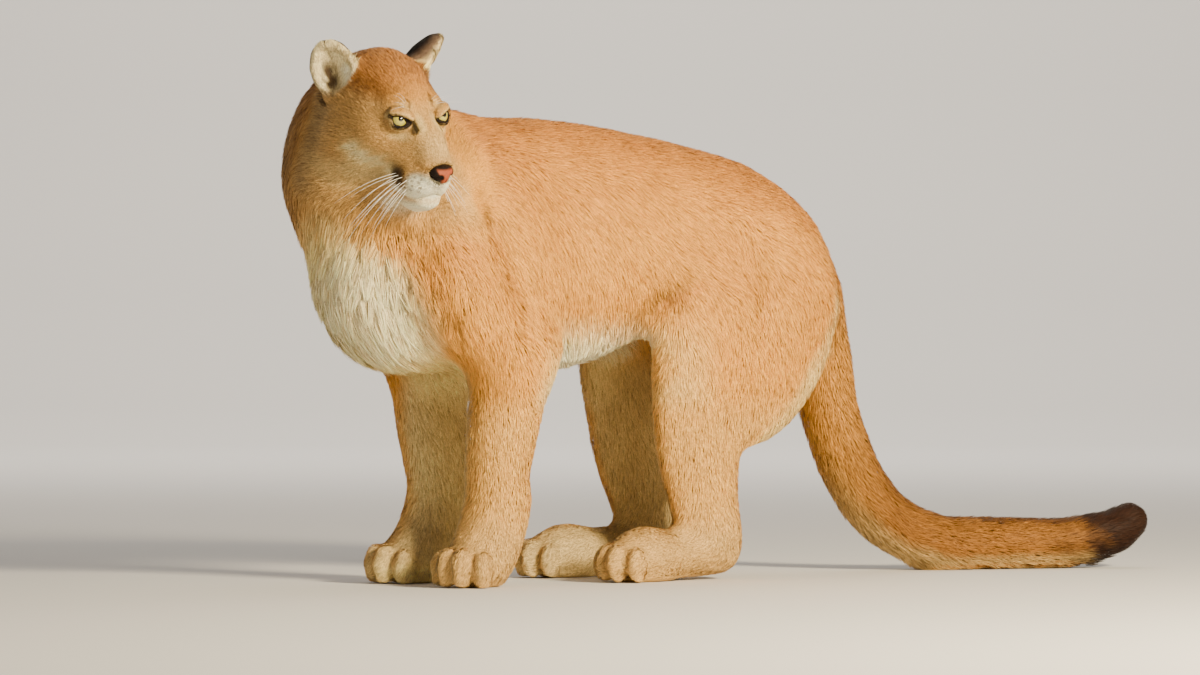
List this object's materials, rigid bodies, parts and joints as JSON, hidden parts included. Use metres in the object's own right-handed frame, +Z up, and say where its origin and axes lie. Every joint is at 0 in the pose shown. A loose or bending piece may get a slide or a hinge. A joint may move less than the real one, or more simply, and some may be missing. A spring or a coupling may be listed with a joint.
{
  "type": "cougar figure",
  "caption": "Life-size standing cougar with tawny fur, its head turned over the left shoulder and its long tail laid behind it.",
  "frame": {"origin": "centre of the footprint's bounding box, on the floor", "axes": "+Z up, the body faces -Y, the animal's left side is +X and the tail trails to +Y"},
  "size_m": [0.3652, 1.4784, 0.7808],
  "materials": {
    "chest_fur": "short fur",
    "neck_fur": "short fur",
    "head_fur": "short fur",
    "lower_jaw_fur": "short fur",
    "ear_left_fur": "short fur",
    "ear_right_fur": "short fur",
    "loin_fur": "short fur",
    "rump_fur": "short fur",
    "upper_foreleg_left_fur": "short fur",
    "upper_foreleg_right_fur": "short fur",
    "forearm_left_fur": "short fur",
    "forearm_right_fur": "short fur",
    "forepaw_left_fur": "short fur",
    "forepaw_right_fur": "short fur",
    "thigh_left_fur": "short fur",
    "thigh_right_fur": "short fur",
    "shank_left_fur": "short fur",
    "shank_right_fur": "short fur",
    "hind_foot_left_fur": "short fur",
    "hind_foot_right_fur": "short fur",
    "tail_1_fur": "short fur",
    "tail_2_fur": "short fur",
    "tail_3_fur": "short fur",
    "tail_4_fur": "short fur",
    "tail_5_fur": "short fur",
    "nose_leather": "moist satin",
    "eye_left_clear": "wet gloss",
    "eye_right_clear": "wet gloss"
  },
  "bodies": {
    "root": {"chest": "chest_fur", "neck": "neck_fur", "head": "head_fur", "lower_jaw": "lower_jaw_fur", "ear_left": "ear_left_fur", "ear_right": "ear_right_fur", "loin": "loin_fur", "rump": "rump_fur", "upper_foreleg_left": "upper_foreleg_left_fur", "upper_foreleg_right": "upper_foreleg_right_fur", "forearm_left": "forearm_left_fur", "forearm_right": "forearm_right_fur", "forepaw_left": "forepaw_left_fur", "forepaw_right": "forepaw_right_fur", "thigh_left": "thigh_left_fur", "thigh_right": "thigh_right_fur", "shank_left": "shank_left_fur", "shank_right": "shank_right_fur", "hind_foot_left": "hind_foot_left_fur", "hind_foot_right": "hind_foot_right_fur", "tail_1": "tail_1_fur", "tail_2": "tail_2_fur", "tail_3": "tail_3_fur", "tail_4": "tail_4_fur", "tail_5": "tail_5_fur", "nose": "nose_leather", "eye_left": "eye_left_clear", "eye_right": "eye_right_clear"}
  },
  "joints": []
}
